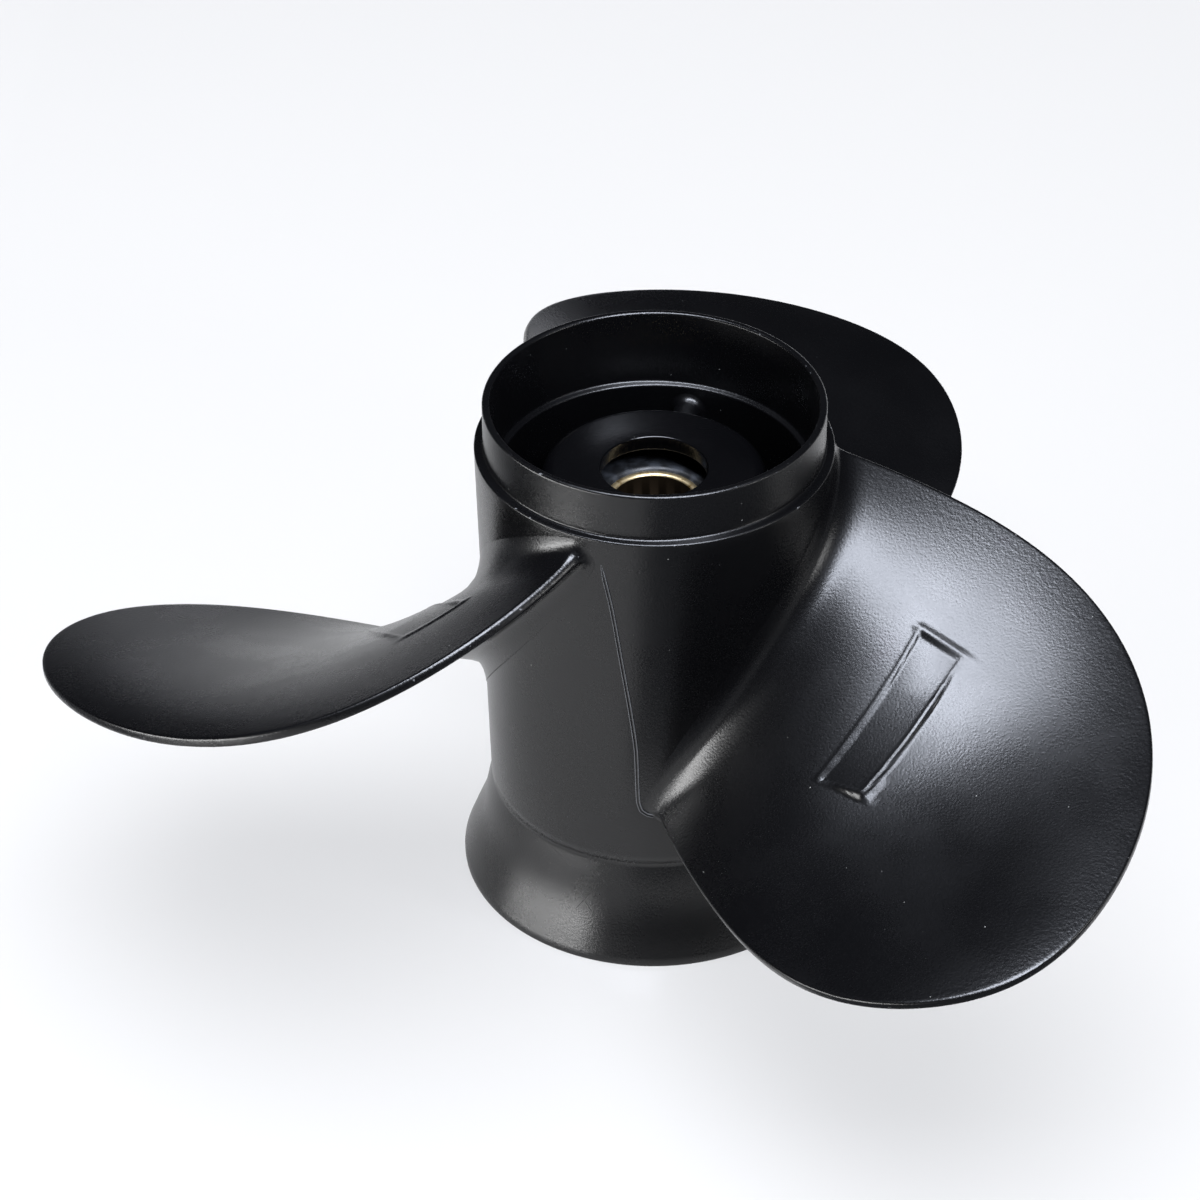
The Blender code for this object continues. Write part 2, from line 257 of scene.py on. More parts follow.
def fillet(above, size):
    """Thickness that a round fillet adds to one side, at a height above the wall it runs into."""
    share = 1.0 - np.clip(np.asarray(above) / size, 0.0, 1.0)
    return size * (1.0 - np.sqrt(1.0 - share * share))


def vane(index):
    """One vane: its rounded outline repeated from inside the hub's wall to inside the barrel's."""
    half = VANE_WIDTH / 2
    azimuth = radians(VANE_AZIMUTH + 360.0 / VANE_COUNT * index)
    outline = []
    for end, start_angle in ((VANE_FRONT_Z - half, 0.0), (VANE_AFT_Z + half, pi)):
        for a in np.linspace(start_angle, start_angle + pi, VANE_END_POINTS):
            outline.append((cos(a), sin(a), end))
    points = []
    turns = np.linspace(0.0, pi / 2, VANE_ROWS)
    shares = [-VANE_BURIAL] + list((1.0 - np.cos(turns)) * 0.5)
    shares += [1.0 - s for s in reversed(shares)]
    for share in shares:
        for across, along, end in outline:
            hub_taper = (HUB_FRONT_R - HUB_AFT_R) * (end - HUB_AFT_Z) / (HUB_FRONT_Z - HUB_AFT_Z)
            passage_taper = (PASSAGE_FRONT_R - PASSAGE_AFT_R) * (end - CREASE_Z) / (LEDGE_Z - CREASE_Z)
            inner = HUB_AFT_R + hub_taper
            outer = PASSAGE_AFT_R + passage_taper
            radius = inner + share * (outer - inner)
            swell = sum(fillet(above + VANE_SINK, VANE_FILLET) for above in (radius - inner, outer - radius))
            thick = half + float(swell)
            angle = azimuth + across * thick / radius
            points.append((radius * cos(angle), radius * sin(angle), end + along * thick))
    count = len(outline)
    faces = [tuple(range(count)), tuple(range(len(points) - count, len(points)))]
    for row in range(len(shares) - 1):
        for i in range(count):
            j = (i + 1) % count
            faces.append((row * count + i, row * count + j, (row + 1) * count + j, (row + 1) * count + i))
    return solid(f"vane_{index + 1}", points, faces)


vanes = [vane(index) for index in range(VANE_COUNT)]

# Blades
# Three helical blades of the same casting, wide and round, with a fillet along each root. The
# suction faces look forward. Two of them carry a raised frame, cast in the same mould.
BLADE_COUNT = 3
FIRST_BLADE_AZIMUTH = -39.9
ROOT_R = 0.0540
TIP_R = 0.1882
BURIED_R = 0.0500
EDGE_HALF = 0.0014
ROOT_HALF = 0.0087
SUCTION_FILLET = 0.0090
PRESSURE_FILLET = 0.0055
END_FILLET = 0.0032
FILLET_SINK = 0.00005

# How late the outline turns in towards the tip, how square the edges are, how fast the blade thins
# outwards, how the root's fillets fade towards both edges, and how soon the mesh's rows leave the
# barrel's cone.
OUTLINE_POWER = 4.7
EDGE_SQUARENESS = 3.2
BODY_POWER = 2.1
WEB_POWER = 0.5
FOOT_POWER = 8

# The blade's five stations, evenly spaced from the root circle to the tip circle. Each gives the
# middle line's skew and the half width in degrees, then its height, the pitch, how far both edges
# lift, and how far they sway apart, in metres.
STATIONS = (
    (0.0, 47.1, 0.1062, 0.384, -0.0037, -0.0026),
    (-2.1, 40.0, 0.0973, 0.376, 0.0020, -0.0012),
    (-4.2, 34.3, 0.0927, 0.358, 0.0031, -0.0005),
    (-7.8, 28.4, 0.0920, 0.329, -0.0010, -0.0002),
    (-14.4, 19.8, 0.0869, 0.307, -0.0030, 0.0),
)
station_spans = np.linspace(0.0, 1.0, len(STATIONS))
station_curves = [np.polyfit(station_spans, column, len(STATIONS) - 1) for column in zip(*STATIONS)]

# The frames, by the number of the blade that each is on: its inboard and outboard radius, then, for
# its leading and its trailing end, the angle from the blade's azimuth at both radii, how high its
# plate stands at the outboard and the inboard side, and its ridges' height at the trailing end, as a
# share of that at the leading end.
FRAMES = {
    0: ((0.0880, 0.1030), (14.4, 12.9), (-15.4, -12.6), (0.00150, -0.00070), 0.55),
    2: ((0.0700, 0.0885), (21.5, 16.5), (-21.0, -18.0), (0.00080, 0.00080), 0.60),
}
# The sloping face is longer than its arc round the shaft, by FRAME_STRETCH. The frame's ends lie
# further out than its middle, by FRAME_BOW, and RIDGE_CREST rounds the ridges.
FRAME_STRETCH = 1.18
FRAME_BOW = 0.0012
RIDGE_CREST = 0.12
# The share of its level that the plate has along the frame, from its trailing end at -1 to its
# leading end at +1, and how far it is sunk where that share is 0.
PLATE_RISE = ((-1.0, 0.3, 0.9), (1.0, 0.85, 0.0))
PLATE_SUNK = -0.00028

# A frame's four sides, from the leading end over the outboard side to the inboard side: the ridge's
# height and the widths of its slopes towards the inside and the outside, then how steeply the plate
# steps down or up to the blade, and how far inside the ridge that step begins.
FRAME_SIDES = (
    (0.00040, 0.0026, 0.0008, 1.20, 0.0019),
    (0.00030, 0.0012, 0.0008, 1.15, 0.0002),
    (0.00030, 0.0009, 0.0008, 0.90, 0.0000),
    (0.00040, 0.0010, 0.0012, 1.20, 0.0004),
)


def outline_width(span):
    """Half width of the blade's outline at a span, in shares of the width without its round tip."""
    return np.sqrt(np.maximum(1.0 - span**OUTLINE_POWER, 0.0))


def outline_span(across):
    """Span of the blade's outline at a place across it, in shares of the span at its middle."""
    return np.maximum(1.0 - across * across, 0.0) ** (1.0 / OUTLINE_POWER)


def frame_height(index, radius, angle):
    """How far the raised frame stands proud of the blade's suction face."""
    if index not in FRAMES:
        return 0.0 * radius
    (inboard, outboard), leading, trailing, plate, fading = FRAMES[index]
    middle = (inboard + outboard) / 2
    along = angle * middle * FRAME_STRETCH
    place = [
        (inboard, radians(leading[0])),
        (outboard, radians(leading[1])),
        (outboard, radians(trailing[1])),
        (inboard, radians(trailing[0])),
    ]
    corners = [(r, a * middle * FRAME_STRETCH) for r, a in place]
    half = (corners[0][1] - corners[3][1]) / 2
    lengthwise = (along - (corners[0][1] + corners[3][1]) / 2) / half
    bowed = radius - FRAME_BOW * np.clip(lengthwise**2, 0.0, 1.0)
    ridge = np.zeros(radius.shape)
    rise = np.interp(lengthwise, *PLATE_RISE)
    level = np.interp(radius, (inboard, outboard), plate[::-1]) * rise + PLATE_SUNK * (1.0 - rise)
    size = np.abs(level)
    for (r0, s0), (r1, s1), side in zip(corners, corners[1:] + corners[:1], FRAME_SIDES):
        height, inner, outer, steepness, inset = side
        length = sqrt((r1 - r0) ** 2 + (s1 - s0) ** 2)
        share = np.clip(((bowed - r0) * (r1 - r0) + (along - s0) * (s1 - s0)) / length**2, 0.0, 1.0)
        out, aside = bowed - r0 - share * (r1 - r0), along - s0 - share * (s1 - s0)
        outwards = (aside * (r1 - r0) - out * (s1 - s0)) / length
        gone = np.hypot(out, aside) / np.where(outwards > 0.0, outer, inner)
        profile = np.clip(1.0 + RIDGE_CREST - np.hypot(gone, RIDGE_CREST), 0.0, 1.0)
        ridge = np.maximum(ridge, height * profile)
        size = np.minimum(size, np.maximum(level, 0.0) - steepness * (outwards + inset))
    fade = fading + (1.0 - fading) * np.clip(0.5 + 0.5 * lengthwise, 0.0, 1.0)
    return ridge * fade + np.sign(level) * np.maximum(size, 0.0)


def blade_skin(index, across, span, side):
    """Points of the blade's skin, as angles, radii and heights.

    across runs from -1 at the trailing edge to +1 at the leading edge, and span from the root
    circle to the tip circle. side is +1 on the suction face and -1 on the pressure face.
    """
    skew, half, height, pitch, lift, sway = (np.polyval(curve, span) for curve in station_curves)
    half = np.radians(half)
    rise = pitch * half / (2 * pi)
    slope = rise + 2 * lift * across + 3 * sway * across**2
    z = height + rise * across + lift * across**2 + sway * across**3
    foot = barrel_radius(z)
    radius = ROOT_R + span * (TIP_R - ROOT_R) - (ROOT_R - foot) * (1 - span) ** FOOT_POWER
    above = radius - foot + FILLET_SINK
    run = half * radius
    length = np.hypot(run, slope)
    stretch = 1 + fillet(above, END_FILLET) / length
    to_side = (outline_width(span) - np.abs(across)) * stretch * length
    to_tip = (outline_span(across) - span) * (TIP_R - ROOT_R)
    to_edge = to_side * to_tip / np.maximum(np.hypot(to_side, to_tip), 1e-9)
    rounding = EDGE_HALF + fillet(above, END_FILLET)
    inward = 1 - np.clip(to_edge / rounding, 0.0, 1.0)
    body = (ROOT_HALF - EDGE_HALF) * (1 - span) ** BODY_POWER * (1 - across * across)
    web = fillet(above, SUCTION_FILLET if side > 0 else PRESSURE_FILLET)
    web = web * np.maximum(1 - across * across, 0.0) ** WEB_POWER
    edge = rounding * (1 - inward**EDGE_SQUARENESS) ** (1 / EDGE_SQUARENESS)
    angle = np.radians(skew) + half * across * stretch
    thickness = edge + body + web
    if side > 0:
        thickness = thickness + frame_height(index, radius, angle)
    z = z + slope * across * (stretch - 1) + side * thickness * run / length
    return angle - side * thickness * slope / length / radius, radius, z


# The mesh's long sides follow the outline up to the span SIDE_TOP, and its end follows the rest. Its
# lines lie closer near the edges and the root, at these shares of the half width and of the span, and
# a frame gets smaller cells of its own.
SIDE_TOP = 0.80
EDGE_LINES = (0.0, 0.00012, 0.0006, 0.0016, 0.0034, 0.0062, 0.0098, 0.0140, 0.0190, 0.0270)
ROOT_LINES = (0.0, 0.0001, 0.0004, 0.0010, 0.0020, 0.0034, 0.0052, 0.0078, 0.0110, 0.0155, 0.0210)
CHORD_CELLS = 54
SPAN_CELLS = 43
FRAME_CELL = 0.0115
FRAME_ROWS_PER_CELL = 2.6
FRAME_MARGIN = 0.018


def grid_lines(index):
    """Grid lines along the chord and the span: close at edges, root and frame, wide elsewhere."""
    ends = [1 - e for e in EDGE_LINES]
    first = ends.pop()
    chordwise = [-e for e in ends] + list(np.linspace(-first, first, CHORD_CELLS + 1)) + ends[::-1]
    spanwise = [*ROOT_LINES[:-1], *np.linspace(ROOT_LINES[-1], first, SPAN_CELLS + 1), *ends[::-1]]
    if index in FRAMES:
        (inboard, outboard), leading, trailing = FRAMES[index][:3]
        low = (inboard - ROOT_R) / (TIP_R - ROOT_R) - FRAME_MARGIN
        high = (outboard - ROOT_R) / (TIP_R - ROOT_R) + FRAME_MARGIN
        half = np.polyval(station_curves[1], (low + high) / 2)
        skew = np.polyval(station_curves[0], (low + high) / 2)
        aft = (min(trailing) - skew) / half - 2 * FRAME_MARGIN
        fore = (max(leading) - skew) / half + 2 * FRAME_MARGIN
        chordwise = [a for a in chordwise if not aft < a < fore]
        chordwise += list(np.arange(aft, fore, FRAME_CELL))
        spanwise = [b for b in spanwise if not low < b < high]
        spanwise += list(np.arange(low, high, FRAME_CELL / FRAME_ROWS_PER_CELL))
    return np.array(sorted(chordwise)), np.array(sorted(spanwise))


def blade(index):
    """One blade: two skins that meet round the outline, closed off inside the barrel's wall."""
    chordwise, spanwise = grid_lines(index)
    a, b = np.meshgrid(chordwise, spanwise, indexing="ij")
    corner = outline_width(np.array(SIDE_TOP))
    top_across = np.sin(a * np.arcsin(corner))
    across = (1 - b) * a + b * top_across + a * outline_width(SIDE_TOP * b)
    across = across - a * (1 - b) - a * b * corner
    span = b * outline_span(top_across)
    azimuth = radians(FIRST_BLADE_AZIMUTH + 360.0 / BLADE_COUNT * index)
    points = []
    tables = []
    for side in (1.0, -1.0):
        angle, radius, z = blade_skin(index, across, span, side)
        angle, radius, z = (np.concatenate([g[:, :1], g], axis=1) for g in (angle, radius, z))
        radius[:, 0] = BURIED_R
        table = len(points) + np.arange(angle.size).reshape(angle.shape)
        tables.append(table)
        places = (radius * np.cos(angle + azimuth), radius * np.sin(angle + azimuth), z)
        points += list(zip(*(place.ravel() for place in places)))
    suction, pressure = tables
    pressure[0], pressure[-1], pressure[:, -1] = suction[0], suction[-1], suction[:, -1]
    outline = np.concatenate([suction[0, 1:], suction[1:-1, -1], suction[-1, 1:]])
    outline_points.extend(points[i] for i in outline.tolist())
    faces = []
    for skin in (suction, pressure):
        cells = np.stack([skin[:-1, :-1], skin[1:, :-1], skin[1:, 1:], skin[:-1, 1:]], axis=-1)
        faces += [tuple(cell) for cell in cells.reshape(-1, 4).tolist()]
    root = list(zip(suction[:, 0].tolist(), pressure[:, 0].tolist()))
    for (top, bottom), (next_top, next_bottom) in zip(root, root[1:]):
        faces.append(tuple(dict.fromkeys((top, next_top, next_bottom, bottom))))
    faces = [face for face in faces if len(set(face)) > 2]
    used = sorted({corner for face in faces for corner in face})
    renumber = {old: new for new, old in enumerate(used)}
    faces = [tuple(renumber[i] for i in face) for face in faces]
    return solid(f"blade_{index + 1}", [points[i] for i in used], faces)


outline_points = []
blades = [blade(index) for index in range(BLADE_COUNT)]

# Parting lines
# Where the halves of the mould met, a fine line of two beads stands on the barrel. Each runs from
# the foot of one blade's leading edge down to the foot of the next blade's trailing edge.
#
# Points along the line: the angle from its blade's azimuth, in degrees, and the height.
PARTING_PATH = ((-66.4, 0.1475), (-63.0, 0.1319), (-60.5, 0.1155), (-57.3, 0.0950), (-55.3, 0.0800),
                (-54.9, 0.0650), (-54.6, 0.0590), (-53.6, 0.0558), (-51.6, 0.0543), (-48.9, 0.0536))
PARTING_HALF = 0.00075
PARTING_HEIGHT = 0.00048
PARTING_SINK = 0.00012
PARTING_GROOVE = 0.62
PARTING_ARC = 13
PARTING_CRESTS = (2, 10)
PARTING_ROWS = 60
PARTING_SMOOTHINGS = 3


def parting_line(index):
    """One parting line: its section of two beads, swept along its smoothed path over the barrel."""
    path = np.array(PARTING_PATH)
    stops = np.arange(len(path))
    dense = np.linspace(0, len(path) - 1, PARTING_ROWS)
    angles = np.interp(dense, stops, path[:, 0]) + FIRST_BLADE_AZIMUTH + 360.0 / BLADE_COUNT * index
    angles = np.radians(angles)
    heights = np.interp(dense, stops, path[:, 1])
    for _ in range(PARTING_SMOOTHINGS):
        angles[1:-1] = (angles[:-2] + 2 * angles[1:-1] + angles[2:]) / 4
        heights[1:-1] = (heights[:-2] + 2 * heights[1:-1] + heights[2:]) / 4
    radii = barrel_radius(heights)
    along = np.stack([np.gradient(angles) * radii, np.gradient(heights)])
    along /= np.hypot(*along)
    points = []
    for i in range(len(angles)):
        taper = min(1.0, (min(i, len(angles) - 1 - i) + 0.5) / 2)
        for share in np.linspace(1.0, -1.0, PARTING_ARC):
            # A half round with a groove down its middle, which leaves two beads.
            bead = (1.0 - share * share) ** 0.5 * (1.0 - PARTING_GROOVE * (1.0 - share * share) ** 3)
            bead /= 1.0 - PARTING_GROOVE / 4.0
            aside = PARTING_HALF * share * taper
            radius = radii[i] + (PARTING_HEIGHT + PARTING_SINK) * bead * taper - PARTING_SINK
            angle = angles[i] - aside * along[1][i] / radii[i]
            points.append((radius * cos(angle), radius * sin(angle), heights[i] + aside * along[0][i]))
        parting_crests.extend(points[crest - PARTING_ARC] for crest in PARTING_CRESTS)
        buried = radii[i] - PARTING_HEIGHT - PARTING_SINK
        points.append((buried * cos(angles[i]), buried * sin(angles[i]), heights[i]))
    count = PARTING_ARC + 1
    faces = [tuple(range(count)), tuple(range(len(points) - count, len(points)))]
    for row in range(len(angles) - 1):
        for i in range(count):
            j = (i + 1) % count
            faces.append((row * count + i, row * count + j, (row + 1) * count + j, (row + 1) * count + i))
    return solid(f"parting_line_{index + 1}", points, faces)


parting_crests = []
parting_lines = [parting_line(index) for index in range(BLADE_COUNT)]

# Casting
# Barrel, inner hub, vanes, blades and parting lines are one pour of aluminium, so they are joined
# into one skin here, and the separate forms go.
casting = barrel
casting.name = "painted_casting"
forms = [barrel, inner_hub] + vanes + blades + parting_lines
marks = [bpy.data.materials.new(form.name) for form in forms]
for number, form in enumerate(forms):
    for mark in marks:
        form.data.materials.append(mark)
    form.data.polygons.foreach_set("material_index", [number] * len(form.data.polygons))
for form in forms[1:]:
    join = casting.modifiers.new(form.name, "BOOLEAN")
    join.operation = "UNION"
    join.solver = "MANIFOLD"
    join.object = form
depsgraph = bpy.context.evaluated_depsgraph_get()
cast_mesh = bpy.data.meshes.new_from_object(casting.evaluated_get(depsgraph))
casting.modifiers.clear()
casting.data = cast_mesh

# Where two forms meet, the edge keeps both faces' own shading, so that neither smears into the other.
seams = bmesh.new()
seams.from_mesh(cast_mesh)
for edge in seams.edges:
    edge.smooth = len({face.material_index for face in edge.link_faces}) == 1
for face in seams.faces:
    face.smooth = True
    face.material_index = 0
seams.to_mesh(cast_mesh)
seams.free()
for form in forms[1:]:
    bpy.data.objects.remove(form, do_unlink=True)


def linear(code):
    """A Blender colour from an sRGB hex value."""
    parts = [int(code[i : i + 2], 16) / 255 for i in (1, 3, 5)]
    return (*[p / 12.92 if p <= 0.04045 else ((p + 0.055) / 1.055) ** 2.4 for p in parts], 1.0)


def add_node(tree, kind, inputs=(), **settings):
    """One node. Its inputs, in order or by name, are numbers, hex colours or other nodes' outputs."""
    node = tree.nodes.new(kind)
    for name, value in settings.items():
        setattr(node, name, value)
    for key, value in inputs.items() if isinstance(inputs, dict) else enumerate(inputs):
        if isinstance(value, bpy.types.NodeSocket):
            tree.links.new(value, node.inputs[key])
        else:
            node.inputs[key].default_value = linear(value) if isinstance(value, str) else value
    return node


def new_material(name):
    """A new material, with its nodes and its surface shader."""
    material = bpy.data.materials.new(name)
    material.use_nodes = True
    return material, material.node_tree, material.node_tree.nodes["Principled BSDF"]


# How far each point of the skin lies from the nearest edge that gets knocked: the blades' outlines,
# both corners of the front rim, the shoulder and the aft rim, and from the two crests of the parting
# lines. The paint is worn and rougher at the knocked edges, and the crests are painted paler, a
# painted highlight along the beads. The inner hub's faced front is marked as machined.
nearest = []
for edge_points in (outline_points, parting_crests):
    finder = KDTree(len(edge_points))
    for number, point in enumerate(edge_points):
        finder.insert(point, number)
    finder.balance()
    nearest.append(finder)
knocked_corners = [(SPIGOT_R, FRONT_RIM_Z), (spigot_in, FRONT_RIM_Z)]
knocked_corners += [(SHOULDER_R, SHOULDER_Z), (AFT_RIM_R, 0.0)]
near_edges = {"from_outline": [], "from_crest": [], "from_corner": [], "machined": []}
for vertex in cast_mesh.vertices:
    x, y, z = vertex.co
    radius = sqrt(x * x + y * y)
    near_edges["from_outline"].append(nearest[0].find(vertex.co)[2])
    near_edges["from_crest"].append(nearest[1].find(vertex.co)[2])
    near_edges["from_corner"].append(min(sqrt((radius - r) ** 2 + (z - h) ** 2) for r, h in knocked_corners))
    near_edges["machined"].append(float(radius < HUB_FRONT_R and z > lip_back))
for name, values in near_edges.items():
    cast_mesh.attributes.new(name, "FLOAT", "POINT").data.foreach_set("value", values)

# The casting's paint: satin black stoved enamel, sprayed over blasted aluminium. The eye sees a deep
# black with broad soft highlights, an orange peel that makes them grainy, and near the blades'
# outlines the coarser skin of the sand mould. On the hub's machined face the paint lies smoother.
# Pale dust lies on it, and a few corners are chipped.
ENAMEL = "#040405"
ENAMEL_ROUGHNESS = 0.28
MACHINED_SMOOTHING = 0.08
DUST = "#9a9a96"
BARE_METAL = "#77787a"
CREST_HIGHLIGHT = "#5a5b5d"
CREST_REACH = 0.00030
# Real orange peel is 0.2 to 0.3 mm across, moulding sand 0.3 to 0.5 mm and a speck of dust 0.1 mm.
# They are drawn at 0.7, 1.3 and 0.4 mm, so that the render shows them.
PEEL_SIZE = 0.0007
PEEL_DEPTH = 0.00004
PEEL_DULLNESS = 0.015
MOULD_GRAIN = 0.0013
MOULD_GRAIN_DEPTH = 0.00005
MOULD_GRAIN_BAND = (0.003, 0.020)
SHEEN_PATCH = 0.030
SHEEN_SPREAD = 0.025
NOISE_RANGE = (0.3, 0.7)
DUST_SPACING = 0.0052
DUST_SIZE = 0.00021
DUST_CHOICE = (0.55, 0.95)
CHIP_SIZE = 0.0016
CHIP_REACH = 0.0007
CHIP_THRESHOLD = (0.66, 0.72)
OUTLINE_CHIPPING = 0.6
# The part of a speck, of a chipped edge, of the scuff and of one rub that is full, before it fades.
SPECK_CORE = 0.5
CHIP_CORE = 0.3
SCUFF_CORE = 0.6
RUB_CORE = 0.3
SCUFF_PLACE = (-0.0205, -0.0495, 0.0185)
SCUFF_REACH = 0.0052
SCUFF_WIDTH = 0.00022
SCUFF_DIRECTIONS = ((0.62, 0.26, 0.74), (-0.62, 0.25, 0.74))
WORN_DULLNESS = 0.25

paint, tree, shader = new_material("satin_black_enamel_on_cast_aluminium")
place = add_node(tree, "ShaderNodeTexCoord").outputs["Object"]
SMOOTH = {"interpolation_type": "SMOOTHSTEP"}
edge_distance, corner_distance, crest_distance, machined_face = [
    add_node(tree, "ShaderNodeAttribute", attribute_name=name).outputs["Fac"]
    for name in ("from_outline", "from_corner", "from_crest", "machined")
]

# Dust: one spot in each cell of a pattern, in fewer than half of the cells.
cells = add_node(tree, "ShaderNodeTexVoronoi", {"Vector": place, "Scale": 1.0 / DUST_SPACING})
cell_parts = add_node(tree, "ShaderNodeSeparateColor", [cells.outputs["Color"]])
spot_share = DUST_SIZE / DUST_SPACING
spot_fade = [cells.outputs["Distance"], SPECK_CORE * spot_share, spot_share, 1.0, 0.0]
spot = add_node(tree, "ShaderNodeMapRange", spot_fade, **SMOOTH)
chosen = add_node(tree, "ShaderNodeMapRange", [cell_parts.outputs[0], *DUST_CHOICE, 0.0, 1.0], **SMOOTH)
dust = add_node(tree, "ShaderNodeMath", [spot.outputs[0], chosen.outputs[0]], operation="MULTIPLY").outputs[0]

# Chips: small bare places along the knocked corners and outlines.
flakes = add_node(tree, "ShaderNodeTexNoise", {"Vector": place, "Scale": 1.0 / CHIP_SIZE, "Detail": 3.0})
chipped = add_node(tree, "ShaderNodeMapRange", [flakes.outputs["Fac"], *CHIP_THRESHOLD, 0.0, 1.0], **SMOOTH)
near_knocks = []
for distance, share in ((corner_distance, 1.0), (edge_distance, OUTLINE_CHIPPING)):
    fade = [distance, CHIP_CORE * CHIP_REACH, CHIP_REACH, share, 0.0]
    near_knocks.append(add_node(tree, "ShaderNodeMapRange", fade, **SMOOTH).outputs[0])
at_edge = add_node(tree, "ShaderNodeMath", near_knocks, operation="MAXIMUM").outputs[0]
chips = add_node(tree, "ShaderNodeMath", [at_edge, chipped.outputs[0]], operation="MULTIPLY").outputs[0]

# Scuff: two crossing rubs on the flare, where a tool slipped.
offset = add_node(tree, "ShaderNodeVectorMath", [place, SCUFF_PLACE], operation="SUBTRACT").outputs[0]
reach = add_node(tree, "ShaderNodeVectorMath", [offset], operation="LENGTH").outputs["Value"]
near_fade = [reach, SCUFF_CORE * SCUFF_REACH, SCUFF_REACH, 1.0, 0.0]
near = add_node(tree, "ShaderNodeMapRange", near_fade, **SMOOTH)
rubs = []
for direction in SCUFF_DIRECTIONS:
    across = Vector(direction).cross(Vector((SCUFF_PLACE[0], SCUFF_PLACE[1], 0.0))).normalized()
    side = add_node(tree, "ShaderNodeVectorMath", [offset, across], operation="DOT_PRODUCT").outputs["Value"]
    width = add_node(tree, "ShaderNodeMath", [side], operation="ABSOLUTE").outputs[0]
    rub_fade = [width, RUB_CORE * SCUFF_WIDTH, SCUFF_WIDTH, 1.0, 0.0]
    rub = add_node(tree, "ShaderNodeMapRange", rub_fade, **SMOOTH)
    rubs.append(rub.outputs[0])
crossing = add_node(tree, "ShaderNodeMath", rubs, operation="MAXIMUM").outputs[0]
scuffed = add_node(tree, "ShaderNodeMath", [crossing, near.outputs[0], chips], operation="MULTIPLY_ADD")
worn = scuffed.outputs[0]

dusty = add_node(tree, "ShaderNodeMix", {0: dust, 6: ENAMEL, 7: DUST}, data_type="RGBA").outputs[2]
# The two crests of the parting lines are painted paler: a painted highlight along the beads.
crest_highlight_share = add_node(tree, "ShaderNodeMapRange", [crest_distance, 0.0, CREST_REACH, 1.0, 0.0], **SMOOTH).outputs[0]
with_crest_highlight = add_node(tree, "ShaderNodeMix", {0: crest_highlight_share, 6: dusty, 7: CREST_HIGHLIGHT}, data_type="RGBA").outputs[2]
colour = add_node(tree, "ShaderNodeMix", {0: chips, 6: with_crest_highlight, 7: BARE_METAL}, data_type="RGBA").outputs[2]
tree.links.new(colour, shader.inputs["Base Color"])

# Roughness: patches of sheen, a grain from the orange peel, smoother on the machined face.
peel_noise = add_node(tree, "ShaderNodeTexNoise", {"Vector": place, "Scale": 1.0 / PEEL_SIZE, "Detail": 1.0})
peel = peel_noise.outputs["Fac"]
patches = add_node(tree, "ShaderNodeTexNoise", {"Vector": place, "Scale": 1.0 / SHEEN_PATCH}).outputs["Fac"]
sheen_range = (ENAMEL_ROUGHNESS - SHEEN_SPREAD, ENAMEL_ROUGHNESS + SHEEN_SPREAD)
sheen = add_node(tree, "ShaderNodeMapRange", [patches, *NOISE_RANGE, *sheen_range], **SMOOTH).outputs[0]
grainy = add_node(tree, "ShaderNodeMapRange", [peel, *NOISE_RANGE, -PEEL_DULLNESS, PEEL_DULLNESS]).outputs[0]
roughness = add_node(tree, "ShaderNodeMath", [sheen, grainy], operation="ADD").outputs[0]
for share, change in ((machined_face, -MACHINED_SMOOTHING), (worn, WORN_DULLNESS)):
    changed = add_node(tree, "ShaderNodeMath", [share, change, roughness], operation="MULTIPLY_ADD")
    roughness = changed.outputs[0]
tree.links.new(roughness, shader.inputs["Roughness"])

# Relief: the orange peel everywhere, and the sand mould's grain near the outlines.
mould = add_node(tree, "ShaderNodeTexNoise", {"Vector": place, "Scale": 1.0 / MOULD_GRAIN, "Detail": 1.0})
mould_share = add_node(tree, "ShaderNodeMapRange", [edge_distance, *MOULD_GRAIN_BAND, 1.0, 0.0], **SMOOTH)
peel_bump = add_node(tree, "ShaderNodeBump", {"Height": peel, "Distance": PEEL_DEPTH})
grain_bump = add_node(tree, "ShaderNodeBump", {
    "Height": mould.outputs["Fac"], "Strength": mould_share.outputs[0],
    "Distance": MOULD_GRAIN_DEPTH, "Normal": peel_bump.outputs[0],
})
tree.links.new(grain_bump.outputs[0], shader.inputs["Normal"])
casting.data.materials.clear()
for mark in marks:
    bpy.data.materials.remove(mark)
casting.data.materials.append(paint)
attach(casting, "root")
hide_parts("propeller_casting")

# Rubber bush
# A moulded black rubber ring, bonded to the brass sleeve and pressed into the inner hub from aft.
# It cushions the drive, and slips before the gears break when a blade hits something.
SEAT_GAP = 0.0003
SLEEVE_R = 0.0148
SLEEVE_FRONT_Z = 0.1357
BUSH_FRONT_Z = 0.1362
BUSH_AFT_Z = 0.0590
BUSH_ROUND = 0.0014

bush_out = BUSH_BORE_R - SEAT_GAP
bush_in = SLEEVE_R + SEAT_GAP
bush_section = rounded(
    [
        (bush_out, BUSH_FRONT_Z, BUSH_ROUND),
        (bush_out, BUSH_AFT_Z, BUSH_ROUND),
        (bush_in, BUSH_AFT_Z, BUSH_ROUND / 2),
        (bush_in, SLEEVE_FRONT_Z, 0.0),
        (bush_in + BUSH_ROUND, BUSH_FRONT_Z, BUSH_ROUND),
    ],
    bends=HUB_BENDS,
)
bush = turned("moulded_rubber_bush", bush_section, HUB_STEPS)

# Black natural rubber as it left the mould: a dull, slightly bluish black with a greasy sheen, faint
# ripples and pale bloom in patches.
RUBBER = "#131416"
RUBBER_BLOOM = "#282b30"
RUBBER_ROUGHNESS = (0.42, 0.60)
BLOOM_PATCH = 0.0045
BLOOM_THRESHOLD = (0.42, 0.66)
RUBBER_GRAIN = 0.0009
RUBBER_GRAIN_DEPTH = 0.00003

